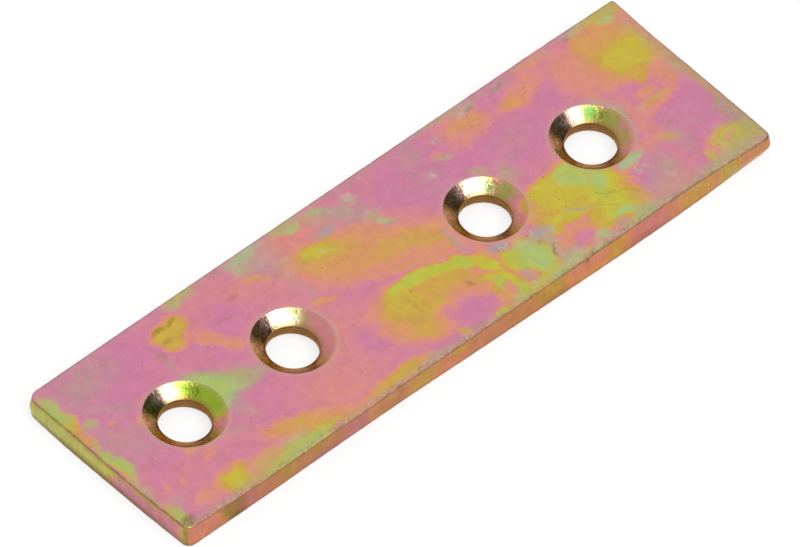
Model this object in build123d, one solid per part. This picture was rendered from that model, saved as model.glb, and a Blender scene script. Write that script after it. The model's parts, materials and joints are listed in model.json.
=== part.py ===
from build123d import *

import os
from math import radians, tan

# A flat mending plate: one piece of steel strip, blanked to length and pierced with four
# countersunk screw holes in a single row, two near each end.
#
# Frame: the plate lies on its back. The origin is the centre of the back face, +X runs along
# the plate and +Z points out of the face that takes the screw heads. Lengths are millimetres.

# --- blank ---------------------------------------------------------------------------------
plate_length = 75.0
plate_width = 22.0
plate_thickness = 2.5
corner_radius = 0.4             # upright corners of the blank, dulled by tumbling
front_edge_radius = 0.2         # round along the outline of the countersunk face
back_edge_radius = 0.12         # round along the outline of the back

# --- hole row ------------------------------------------------------------------------------
near_margin = 9.7               # -X end to the first hole
far_margin = 13.2               # last hole to the +X end: the row isn't centred on the blank
pair_pitch = 13.7               # between the two holes of a pair
row_offset = -0.33              # the row runs a little off the centre line

# --- one screw hole, from the front face to the back -----------------------------------------
sink_diameter = 8.1             # mouth of the countersink, before its edge is rounded
sink_angle = 112.0              # full angle of the cone
bore_diameter = 5.1             # wall that the screw's shank passes
breakout_diameter = 5.75        # where the punch tears out through the back
breakout_height = 0.6
mouth_radius = 0.4              # round between the front face and the cone
throat_radius = 0.15            # round between the cone and the bore
overcut = 1.0                   # how far the cutter runs past both faces

# --- worked out from the sizes above ---------------------------------------------------------
sink_depth = (sink_diameter - bore_diameter) / 2 / tan(radians(sink_angle / 2))
throat_height = plate_thickness - sink_depth
first_hole = -plate_length / 2 + near_margin
last_hole = plate_length / 2 - far_margin
hole_row = [first_hole, first_hole + pair_pitch, last_hole - pair_pitch, last_hole]


def blank():
    """The plate before it is pierced, its corners and edges already rounded."""
    with BuildPart() as body:
        with BuildSketch():
            RectangleRounded(plate_length, plate_width, corner_radius)
        extrude(amount=plate_thickness)
        fillet(body.faces().sort_by(Axis.Z)[-1].edges(), front_edge_radius)
        fillet(body.faces().sort_by(Axis.Z)[0].edges(), back_edge_radius)
    return body.part


def hole_cutter():
    """The space inside one screw hole: half its section, turned about the hole's axis."""
    half_section = [
        (0, -overcut),
        (breakout_diameter / 2, -overcut),
        (breakout_diameter / 2, 0),
        (bore_diameter / 2, breakout_height),
        (bore_diameter / 2, throat_height),
        (sink_diameter / 2, plate_thickness),
        (sink_diameter / 2, plate_thickness + overcut),
        (0, plate_thickness + overcut),
    ]
    with BuildPart() as cutter:
        with BuildSketch(Plane.XZ) as section:
            with BuildLine():
                Polyline(*half_section, close=True)
            make_face()
            throat = section.vertices().sort_by_distance((bore_diameter / 2, 0, throat_height))[0]
            fillet(throat, throat_radius)
        revolve(axis=Axis.Z)
    return cutter.part


def mending_plate():
    """The blank with its four holes, and the mouth of each countersink dulled."""
    with BuildPart() as plate:
        add(blank())
        with Locations(*[(place, row_offset) for place in hole_row]):
            add(hole_cutter(), mode=Mode.SUBTRACT)
        front = plate.faces().sort_by(Axis.Z)[-1]
        mouths = [mouth.edges()[0] for mouth in front.inner_wires()]
        fillet(mouths, mouth_radius)
    return plate.part


os.makedirs("parts", exist_ok=True)
export_step(mending_plate(), "parts/mending_plate.step")
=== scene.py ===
import bpy
import bmesh
import json
import math
from mathutils import Matrix, Vector


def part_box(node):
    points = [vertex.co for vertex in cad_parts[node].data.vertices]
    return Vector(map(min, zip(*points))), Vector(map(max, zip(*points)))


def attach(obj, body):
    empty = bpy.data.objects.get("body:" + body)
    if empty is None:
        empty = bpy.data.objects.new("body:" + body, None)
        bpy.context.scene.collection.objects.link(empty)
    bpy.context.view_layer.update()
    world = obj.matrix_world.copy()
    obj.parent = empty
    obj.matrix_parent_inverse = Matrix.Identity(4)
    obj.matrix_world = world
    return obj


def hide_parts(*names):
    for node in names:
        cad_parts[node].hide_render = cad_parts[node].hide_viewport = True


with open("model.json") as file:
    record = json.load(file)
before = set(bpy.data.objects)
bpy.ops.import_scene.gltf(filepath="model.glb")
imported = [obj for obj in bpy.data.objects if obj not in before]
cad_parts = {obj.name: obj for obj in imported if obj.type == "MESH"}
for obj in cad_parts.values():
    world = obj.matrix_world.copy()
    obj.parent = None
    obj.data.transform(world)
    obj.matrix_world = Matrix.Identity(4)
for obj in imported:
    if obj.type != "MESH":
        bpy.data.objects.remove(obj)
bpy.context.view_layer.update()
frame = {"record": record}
mm = 0.001
low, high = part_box("mending_plate")
screwHoles = [mount for mount in frame["record"]["mounts"] if mount["name"].startswith("screw_hole")]
holeCentres = sorted((Vector(mount["pos_m"]) for mount in screwHoles), key=lambda spot: spot.x)
print("frame loaded with", len(holeCentres), "screw holes")


# working in edit mode

def goTo(mode):
    bpy.ops.object.mode_set(mode=mode)


def pickAll():
    bpy.ops.mesh.select_all(action="SELECT")


def pick(kind, wanted):  # selects the verts, edges or faces that are wanted, and nothing else
    bpy.ops.mesh.select_mode(type=kind)
    bpy.ops.mesh.select_all(action="DESELECT")
    shell = bmesh.from_edit_mesh(bpy.context.object.data)
    for part in {"VERT": shell.verts, "EDGE": shell.edges, "FACE": shell.faces}[kind]:
        if wanted(part):
            part.select_set(True)
    bmesh.update_edit_mesh(bpy.context.object.data)


def divide(steps, wanted):
    pick("EDGE", wanted)
    bpy.ops.mesh.subdivide(number_cuts=steps - 1)


def middle(part):
    return sum((vert.co for vert in part.verts), Vector()) / len(part.verts)


def span(edge):
    return edge.verts[1].co - edge.verts[0].co


def near(a, b, gap=0.001 * mm):
    return abs(a - b) < gap


def takeUp(*pieces):  # selects whole pieces, and nothing else
    bpy.ops.object.select_all(action="DESELECT")
    for piece in pieces:
        piece.select_set(True)
    if pieces:
        bpy.context.view_layer.objects.active = pieces[0]


def joinPieces(*pieces):
    takeUp(*pieces)
    bpy.ops.object.join()
    pieces[0].name = "plate"
    return pieces[0]


def setPlace():
    bpy.ops.object.transform_apply(location=True, rotation=True, scale=True)


def addModifier(kind, **settings):  # to the plate, and straight into its mesh
    bpy.ops.object.modifier_add(type=kind)
    modifier = plate.modifiers[-1]
    for name, value in settings.items():
        setattr(modifier, name, value)
    bpy.ops.object.modifier_apply(modifier=modifier.name)


# the blank: a sheet for each face, then the sides between them

blank = {
    # the radius at each corner, which knocks have rounded
    "corners": {(-1, -1): 0.9 * mm, (1, -1): 0.8 * mm, (1, 1): 0.35 * mm, (-1, 1): 1.2 * mm},
    "cornerSteps": 8,
    "collar": 0.3 * mm,  # band along the outline that the edge rounding runs in
    "frontEdge": 0.2 * mm,
    "backEdge": 0.12 * mm,
    "endSteps": 40,  # divisions along a short end
    "outerSteps": 44,  # along the long edge beside the first and last holes
    "innerSteps": 48,  # along the long edge beside the two middle holes
    "seamSteps": 48,  # across the plate between two holes
    "sideSteps": 8,
}

length = high.x - low.x
width = high.y - low.y
seams = [(one.x + two.x) / 2 for one, two in zip(holeCentres, holeCentres[1:])]
fields = list(zip([low.x] + seams, seams + [high.x]))  # one stretch of the plate for each hole


def onRim(edge):  # on the outer outline: further out than the collar's inner edge, and running along it
    spot = middle(edge)
    straight = near(abs(spot.x), length / 2) or near(abs(spot.y), width / 2)
    radius = blank["corners"][math.copysign(1, spot.x), math.copysign(1, spot.y)]
    start = Vector((length / 2 - radius, width / 2 - radius))
    ends = [Vector((abs(vert.co.x), abs(vert.co.y))) - start for vert in edge.verts]
    onArc = all(min(end) > -0.01 * mm and near(end.length, radius, 0.01 * mm) for end in ends)
    return (straight or onArc) and near(span(edge).z, 0)


def longRun(edge, way):  # a long straight edge along the plate, way 0, or across it, way 1
    return near(span(edge)[1 - way], 0) and abs(span(edge)[way]) > 5 * mm


def makeSheet():
    takeUp()
    bpy.ops.mesh.primitive_plane_add(size=1, location=((low.x + high.x) / 2, (low.y + high.y) / 2, high.z))
    sheet = bpy.context.object
    sheet.scale = (length, width, 1)
    setPlace()
    goTo("EDIT")
    for (alongSide, acrossSide), radius in blank["corners"].items():
        corner = Vector((alongSide * length / 2, acrossSide * width / 2))
        pick("VERT", lambda vert: (vert.co.to_2d() - corner).length < 0.01 * mm)
        bpy.ops.mesh.bevel(offset=radius, segments=blank["cornerSteps"], affect="VERTICES")
    pickAll()
    bpy.ops.mesh.inset(thickness=blank["collar"], depth=0)
    for seam in seams:
        pickAll()
        bpy.ops.mesh.bisect(plane_co=(seam, 0, high.z), plane_no=(1, 0, 0))
    inner = width / 2 - blank["collar"]
    pick("FACE", lambda face: all(abs(vert.co.y) < inner + 0.01 * mm for vert in face.verts)
         and len(face.verts) > 3 and abs(middle(face).y) < 1 * mm and face.calc_area() > 100 * mm * mm)
    bpy.ops.mesh.delete(type="ONLY_FACE")
    for place, (start, end) in enumerate(fields):
        steps = blank["outerSteps"] if place in (0, len(fields) - 1) else blank["innerSteps"]
        divide(steps, lambda edge: longRun(edge, 0) and start < middle(edge).x < end)
    divide(blank["endSteps"], lambda edge: longRun(edge, 1) and abs(middle(edge).x) > length * 0.4)
    divide(blank["seamSteps"], lambda edge: longRun(edge, 1) and abs(middle(edge).x) < length * 0.4)
    goTo("OBJECT")
    return sheet


frontSheet = makeSheet()
bpy.ops.object.duplicate()
backSheet = bpy.context.object
goTo("EDIT")
pickAll()
bpy.ops.transform.translate(value=(0, 0, low.z - high.z))
bpy.ops.mesh.flip_normals()
goTo("OBJECT")
joinPieces(frontSheet, backSheet)
goTo("EDIT")
pick("EDGE", lambda edge: len(edge.link_faces) == 1 and onRim(edge))
bpy.ops.mesh.bridge_edge_loops(type="SINGLE")
pick("EDGE", lambda edge: onRim(edge) and near(middle(edge).z, high.z))
bpy.ops.mesh.bevel(offset=blank["frontEdge"], segments=3, affect="EDGES")
pick("EDGE", lambda edge: onRim(edge) and near(middle(edge).z, low.z))
bpy.ops.mesh.bevel(offset=blank["backEdge"], segments=2, affect="EDGES")
divide(blank["sideSteps"], lambda edge: abs(span(edge).z) > 1 * mm)
goTo("OBJECT")
print("blank laid out")


# one screw hole, drawn down from the mouth ring by ring

hole = {
    "steps": 192,
    "mouthRadius": 4.05 * mm,  # where the cone would meet the face if nothing were rounded
    "mouthRound": 0.4 * mm,
    "throatRound": 0.15 * mm,
    "breakout": 2.875 * mm,
    "breakoutRound": 0.06 * mm,
    "coneAngle": 112,
    "coneRings": 8,
    "wallRings": 5,
    "tearRings": 3,
    "faceRings": 13,  # on the face, between the mouth and the edge of its stretch
}
boreRadius = screwHoles[0]["dims"]["r_mm"] * mm
boreFoot = screwHoles[0]["pos_m"][2] - screwHoles[0]["dims"]["length_mm"] * mm / 2
throatHeight = high.z - (hole["mouthRadius"] - boreRadius) / math.tan(math.radians(hole["coneAngle"] / 2))


def roundCorner(before, at, after, radius, steps):  # points round the corner between two straight runs
    one = (before - at).normalized()
    two = (after - at).normalized()
    half = one.angle(two) / 2
    centre = at + (one + two).normalized() * radius / math.sin(half)
    start = (at + one * radius / math.tan(half) - centre).normalized()
    end = (at + two * radius / math.tan(half) - centre).normalized()
    return [centre + radius * start.slerp(end, step / steps) for step in range(steps + 1)]


def between(start, end, steps):  # points of a straight run, without its ends
    return [start.lerp(end, step / steps) for step in range(1, steps)]


def holeRings():  # radius and height of every ring, from the face down to the back
    face = Vector((hole["mouthRadius"] + 1 * mm, high.z))
    mouth = Vector((hole["mouthRadius"], high.z))
    throat = Vector((boreRadius, throatHeight))
    foot = Vector((boreRadius, boreFoot))
    rim = Vector((hole["breakout"], low.z))
    back = Vector((hole["breakout"] + 1 * mm, low.z))
    mouthArc = roundCorner(face, mouth, throat, hole["mouthRound"], 5)
    throatArc = roundCorner(mouth, throat, foot, hole["throatRound"], 4)
    rimArc = roundCorner(foot, rim, back, hole["breakoutRound"], 2)
    cone = between(mouthArc[-1], throatArc[0], hole["coneRings"])
    wall = between(throatArc[-1], foot, hole["wallRings"])
    tear = between(foot, rimArc[0], hole["tearRings"])
    return mouthArc + cone + throatArc + wall + [foot] + tear + rimArc


rings = holeRings()
takeUp()
bpy.ops.mesh.primitive_circle_add(vertices=hole["steps"], radius=rings[0].x, location=(0, 0, rings[0].y))
firstHole = bpy.context.object
setPlace()
goTo("EDIT")
pickAll()
for above, below in zip(rings, rings[1:]):
    bpy.ops.mesh.extrude_region_move(TRANSFORM_OT_translate={"value": (0, 0, below.y - above.y)})
    grow = below.x / above.x
    bpy.ops.transform.resize(value=(grow, grow, 1), center_override=(0, 0, below.y))
goTo("OBJECT")
holes = [firstHole]
while len(holes) < len(holeCentres):
    takeUp(firstHole)
    bpy.ops.object.duplicate()
    holes.append(bpy.context.object)
for piece, centre in zip(holes, holeCentres):
    takeUp(piece)
    piece.location = (centre.x, centre.y, 0)
    setPlace()
print("four holes drawn,", len(rings), "rings each")


# each hole is bridged to its stretch of the front and of the back

plate = joinPieces(frontSheet, *holes)
goTo("EDIT")
for start, end in fields:
    for level in (high.z, low.z):
        pick("EDGE", lambda edge: len(edge.link_faces) < 2 and near(middle(edge).z, level)
             and start - 0.01 * mm < middle(edge).x < end + 0.01 * mm)
        bpy.ops.mesh.bridge_edge_loops(type="SINGLE", number_cuts=hole["faceRings"], interpolation="LINEAR")
pickAll()
bpy.ops.mesh.remove_doubles(threshold=0.002 * mm)
bpy.ops.mesh.normals_make_consistent(inside=False)
goTo("OBJECT")
print("plate joined:", len(plate.data.polygons), "faces")


# while the blank is still square: each face's material slot, and how far in from the outline each vert lies

# each stretch has two slots, for its face and its countersink, and the others follow
bores, nearSide, leftEnd, farSides, behind = range(2 * len(fields), 2 * len(fields) + 5)


def slotFor(poly):
    place = sum(1 for seam in seams if poly.center.x > seam)
    if poly.normal.z < -0.7:
        return behind
    if (poly.center - holeCentres[place]).to_2d().length < hole["mouthRadius"]:
        return bores if poly.center.z < throatHeight else 2 * place + 1
    if poly.normal.z > 0.5:
        return 2 * place
    if abs(poly.normal.y) > abs(poly.normal.x):
        return nearSide if poly.normal.y < 0 else farSides
    return leftEnd if poly.normal.x < 0 else farSides


def insetOf(spot):
    return min(spot.x - low.x, high.x - spot.x, spot.y - low.y, high.y - spot.y) / mm


coverings = [slotFor(poly) for poly in plate.data.polygons]
insets = [insetOf(vert.co) for vert in plate.data.vertices]


# the shears left the blank a little out of true

cage = {
    "along": 9,  # points of the cage along the plate, across it and through it
    "across": 5,
    "through": 3,
    # a post of the cage, counted along and across from the low end, and how far in mm it moves
    # at the back, half way up and at the front
    "pushes": [
        ((0, 0), (0.34, -0.06), (0.34, 0.05), (0.34, 0.16)),
        ((0, 1), (0.12, 0), (0.12, 0), (0.12, 0)),
        ((0, 3), (-0.07, 0), (-0.04, 0), (0, 0)),
        ((0, 4), (0.04, 0), (-0.2, 0.02), (-0.12, -0.09)),
        ((1, 0), (0, -0.08), (0, -0.04), (0, 0)),
        ((1, 4), (0, 0), (0, 0), (0, -0.04)),
        ((4, 0), (0, -0.14), (0, -0.07), (0, 0)),
        ((5, 0), (0, -0.26), (0, -0.13), (0, 0)),
        ((6, 0), (0, -0.36), (0, -0.18), (0, 0)),
        ((7, 0), (0, -0.28), (0, -0.14), (0, 0)),
        ((8, 0), (0.05, 0.07), (0.12, -0.46), (-0.04, -0.32)),
        ((8, 3), (-0.02, 0), (-0.02, 0), (-0.02, 0)),
        ((8, 4), (0.12, -0.11), (0.12, -0.11), (0.12, -0.11)),
    ],
}

takeUp()
bpy.ops.object.add(type="LATTICE", location=(low + high) / 2)
mould = bpy.context.object
mould.scale = high - low
mould.data.points_u = cage["along"]
mould.data.points_v = cage["across"]
mould.data.points_w = cage["through"]
for way in "uvw":
    setattr(mould.data, "interpolation_type_" + way, "KEY_CATMULL_ROM")
for (alongStep, acrossStep), *moves in cage["pushes"]:
    for throughStep, (pushAlong, pushAcross) in enumerate(moves):
        number = alongStep + cage["along"] * (acrossStep + cage["across"] * throughStep)
        point = mould.data.points[number]
        point.co_deform.x += pushAlong * mm / mould.scale.x
        point.co_deform.y += pushAcross * mm / mould.scale.y
bpy.context.view_layer.update()
takeUp(plate)
addModifier("LATTICE", object=mould)
bpy.data.objects.remove(mould)


# sheared edges are never quite straight

wear = {  # how far the edges stray, and how coarsely
    "wander": (0.05 * mm, 0.5 * mm),
    "nicks": (0.03 * mm, 0.16 * mm),
}

goTo("EDIT")
margin = blank["collar"]
pick("VERT", lambda vert: abs(vert.co.x) > length / 2 - margin or abs(vert.co.y) > width / 2 - margin)
plate.vertex_groups.new(name="sheared edges")
bpy.ops.object.vertex_group_assign()
goTo("OBJECT")
for name, (reach, grain) in wear.items():
    cloud = bpy.data.textures.new(name, "CLOUDS")
    cloud.noise_scale = grain
    cloud.noise_depth = 2
    addModifier("DISPLACE", texture=cloud, texture_coords="LOCAL", vertex_group="sheared edges",
                strength=reach)
bpy.ops.object.shade_smooth_by_angle(angle=math.radians(40))
addModifier("WEIGHTED_NORMAL", keep_sharp=True)
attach(plate, "root")
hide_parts("mending_plate")
print("edges worn")


# camera

shot = {
    "azimuth": -46.44,  # degrees round the plate, from the near long side
    "elevation": 49.92,
    "roll": 4.51,
    "distance": 1800 * mm,
    "lens": 863.5,
    "aside": 0.106 * mm,  # how far the picture's centre is from the middle of the face
    "above": 0.978 * mm,
}


def setCamera():
    turn = math.radians(shot["azimuth"])
    rise = math.radians(shot["elevation"])
    roll = math.radians(shot["roll"])
    back = Vector((math.sin(turn) * math.cos(rise), -math.cos(turn) * math.cos(rise), math.sin(rise)))
    level = Vector((math.cos(turn), math.sin(turn), 0))
    upward = back.cross(level)
    across = level * math.cos(roll) + upward * math.sin(roll)
    up = upward * math.cos(roll) - level * math.sin(roll)
    spot = Vector((0, 0, high.z)) + back * shot["distance"] - across * shot["aside"] - up * shot["above"]
    lens = bpy.data.cameras.new("camera")
    lens.lens = shot["lens"]
    lens.sensor_width = 36
    lens.clip_end = 10
    camera = bpy.data.objects.new("camera", lens)
    camera.matrix_world = Matrix.Translation(spot) @ Matrix((across, up, back)).transposed().to_4x4()
    bpy.context.scene.collection.objects.link(camera)
    bpy.context.scene.camera = camera


setCamera()


# nodes: each goes into the tree that was opened last

def openTree(opened):
    global tree
    tree = opened
    tree.nodes.clear()


def add(kind, inputs={}, **settings):  # a node with its settings and inputs, a socket or a value each
    node = tree.nodes.new("ShaderNode" + kind)
    for name, value in settings.items():
        setattr(node, name, value)
    for name, value in inputs.items():
        if isinstance(value, bpy.types.NodeSocket):
            tree.links.new(value, node.inputs[name])
        else:
            node.inputs[name].default_value = value
    return node


def newGroup(name, inputs, outputs):
    group = bpy.data.node_groups.new(name, "ShaderNodeTree")
    for way, sockets in (("INPUT", inputs), ("OUTPUT", outputs)):
        for title, kind in sockets.items():
            group.interface.new_socket(name=title, in_out=way, socket_type="NodeSocket" + kind)
    openTree(group)
    return group, group.nodes.new("NodeGroupInput").outputs, group.nodes.new("NodeGroupOutput").inputs


def maths(operation, *values):
    return add("Math", dict(enumerate(values)), operation=operation).outputs[0]


def times(one, two):
    return maths("MULTIPLY", one, two)


def plus(one, two):
    return maths("ADD", one, two)


def minus(one, two):
    return maths("SUBTRACT", one, two)


def vectors(operation, *values, result="Vector"):
    return add("VectorMath", dict(enumerate(values)), operation=operation).outputs[result]


def parted(spot):
    return add("SeparateXYZ", {0: spot}).outputs


def noise(spot, scale, detail=2.0, rough=0.5):  # its scale is in waves a millimetre
    return add("TexNoise", {"Vector": spot, "Scale": scale, "Detail": detail, "Roughness": rough}).outputs


def fade(value, start, end, low=0.0, high=1.0, smooth=False):  # a value's run, stretched to another
    ends = {"Value": value, "From Min": start, "From Max": end, "To Min": low, "To Max": high}
    return add("MapRange", ends, interpolation_type="SMOOTHSTEP" if smooth else "LINEAR").outputs[0]


def tint(cover, below, above, blend="MIX"):
    if not isinstance(above, bpy.types.NodeSocket):
        above = (*above, 1)
    return add("Mix", {0: cover, 6: below, 7: above}, data_type="RGBA", blend_type=blend).outputs[2]


def tinted(colour, *coats):  # each coat is how far it covers, and its tone
    for cover, tone in coats:
        colour = tint(cover, colour, tone)
    return colour


def multiplied(below, above):
    return tint(1.0, below, above, "MULTIPLY")


def useGroup(group, inputs):
    return add("Group", inputs, node_tree=group).outputs[0]


def newMaterial(name):
    material = bpy.data.materials.new(name)
    material.use_nodes = True
    openTree(material.node_tree)
    return material


# floor, softbox and room

studio = {
    "floorSize": 4.0,
    "floorGap": 0.02 * mm,
    "floorColour": (0.9, 0.9, 0.9, 1),
    "floorShare": 0.27,  # how much of its white is lit paper; the rest shows to camera and gloss alone
    "boxAim": (0.0, -0.54, 0.84),
    "boxDistance": 0.6,
    "boxSize": 0.5,
    "boxPower": 1.95,
    "roomTop": 1.04,
    "roomFoot": 0.8,
    "darkSpot": (0.79, -0.35, 0.5),  # an unlit corner of the room
    "darkLevel": 0.09,
    "dimSide": (-0.93, 0.37, 0),
    "dimFall": 0.1,
}

takeUp()
bpy.ops.mesh.primitive_plane_add(size=studio["floorSize"], location=(0, 0, low.z - studio["floorGap"]))
setPlace()
floor = bpy.context.object
floor.name = "floor"


def setFloor():
    paper = newMaterial("floor paper")
    share = studio["floorShare"]
    lit = add("BsdfDiffuse", {"Color": [share * part for part in studio["floorColour"]]})
    ray = add("LightPath").outputs
    direct = maths("MAXIMUM", ray["Is Camera Ray"], ray["Is Glossy Ray"])
    direct = maths("MAXIMUM", direct, ray["Is Transmission Ray"])
    glow = add("Emission", {"Strength": times(direct, 1 - share)})
    both = add("AddShader", {0: lit.outputs[0], 1: glow.outputs[0]})
    # clear from underneath, so that the back of the plate can be looked at
    clear = add("BsdfTransparent")
    below = add("NewGeometry").outputs["Backfacing"]
    seen = add("MixShader", {0: below, 1: both.outputs[0], 2: clear.outputs[0]})
    add("OutputMaterial", {"Surface": seen.outputs[0]})
    floor.data.materials.append(paper)


def setSoftbox():
    lamp = bpy.data.lights.new("softbox", "AREA")
    lamp.shape = "SQUARE"
    lamp.size = studio["boxSize"]
    lamp.energy = studio["boxPower"]
    softbox = bpy.data.objects.new("softbox", lamp)
    aim = Vector(studio["boxAim"]).normalized()
    softbox.location = aim * studio["boxDistance"]
    softbox.rotation_euler = aim.to_track_quat("Z", "Y").to_euler()
    bpy.context.scene.collection.objects.link(softbox)


def setRoom():
    world = bpy.data.worlds.new("room")
    bpy.context.scene.world = world
    world.use_nodes = True
    openTree(world.node_tree)
    look = add("TexCoord").outputs["Generated"]
    level = fade(parted(look)["Z"], 0, 0.45, studio["roomFoot"], studio["roomTop"], smooth=True)
    toward = vectors("DOT_PRODUCT", look, studio["darkSpot"], result="Value")
    level = times(level, fade(toward, 0.83, 0.96, 1.0, studio["darkLevel"], smooth=True))
    aside = vectors("DOT_PRODUCT", look, studio["dimSide"], result="Value")
    level = times(level, fade(aside, 0.05, 0.6, 1.0, 1 - studio["dimFall"], smooth=True))
    ray = add("LightPath").outputs["Is Camera Ray"]
    level = add("Mix", {0: ray, 2: level, 3: 1.0}).outputs[0]
    shine = add("Background", {"Color": (1, 1, 1, 1), "Strength": level})
    add("OutputWorld", {"Surface": shine.outputs[0]})


setFloor()
setSoftbox()
setRoom()
bpy.context.scene.view_settings.view_transform = "Standard"
print("studio set")


# the passivated film: its colour turns full circle as it thickens

filmTones = [
    (0.00, (0.62, 0.218, 0.356)),  # rose
    (0.14, (0.71, 0.278, 0.23)),  # salmon
    (0.28, (0.69, 0.32, 0.14)),  # orange
    (0.40, (0.61, 0.38, 0.078)),  # gold
    (0.50, (0.59, 0.48, 0.058)),  # yellow
    (0.60, (0.50, 0.53, 0.075)),  # lime
    (0.68, (0.42, 0.54, 0.14)),  # leaf
    (0.77, (0.41, 0.49, 0.25)),  # mint
    (0.86, (0.47, 0.36, 0.25)),  # sage
    (0.93, (0.53, 0.29, 0.285)),  # dusk
    (1.00, (0.62, 0.218, 0.356)),
]
rose, salmon, orange, gold, yellow, lime, leaf = 0, 0.14, 0.28, 0.4, 0.5, 0.6, 0.68
dusk, sage, thinLeaf = -0.08, -0.15, -0.33  # tones met from the thin side


def makeFilmColour():
    group, given, result = newGroup("film colour", {"Film": "Float"}, {"Colour": "Color"})
    ramp = add("ValToRGB", {"Fac": maths("FRACT", given["Film"])})
    stops = ramp.color_ramp.elements
    while len(stops) < len(filmTones):
        stops.new(0.5)
    for stop, (place, tone) in zip(stops, filmTones):
        stop.position = place
        stop.color = (*tone, 1)
    group.links.new(ramp.outputs["Color"], result["Colour"])
    return group


def makeStain():  # one soft-edged oval; the lane is a spot on the face, and its height the film's thickness
    kinds = dict.fromkeys(("Lane", "Place", "Turn", "Size", "Tone"), "Vector")
    group, given, result = newGroup("stain", {**kinds, "Soft": "Float"}, {"Lane": "Vector"})
    lane = given["Lane"]
    inside = {"Vector": lane, "Location": given["Place"], "Rotation": given["Turn"], "Scale": given["Size"]}
    local = add("Mapping", inside, vector_type="TEXTURE").outputs[0]
    reach = vectors("LENGTH", local, result="Value")
    cover = fade(reach, plus(1, given["Soft"]), minus(1, given["Soft"]), smooth=True)
    toned = vectors("MULTIPLY_ADD", lane, (1, 1, 0), given["Tone"])
    mixed = add("Mix", {0: cover, 4: lane, 5: toned}, data_type="VECTOR").outputs[1]
    group.links.new(mixed, result["Lane"])
    return group


def makeCrawl():  # the wet film crept, so every outline on it is ragged
    kinds = dict.fromkeys(("Spot", "Far", "Fine"), "Vector")
    group, given, result = newGroup("crawl", kinds, {"Spot": "Vector"})
    spot = given["Spot"]
    for reach, scale, detail in (("Far", 0.22, 2), ("Fine", 0.9, 5)):
        shift = vectors("SUBTRACT", noise(spot, scale, detail, 0.65)[1], (0.5, 0.5, 0.5))
        spot = vectors("ADD", spot, vectors("MULTIPLY", shift, given[reach]))
    group.links.new(spot, result["Spot"])
    return group


filmColour = makeFilmColour()
stainGroup = makeStain()
crawlGroup = makeCrawl()

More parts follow.
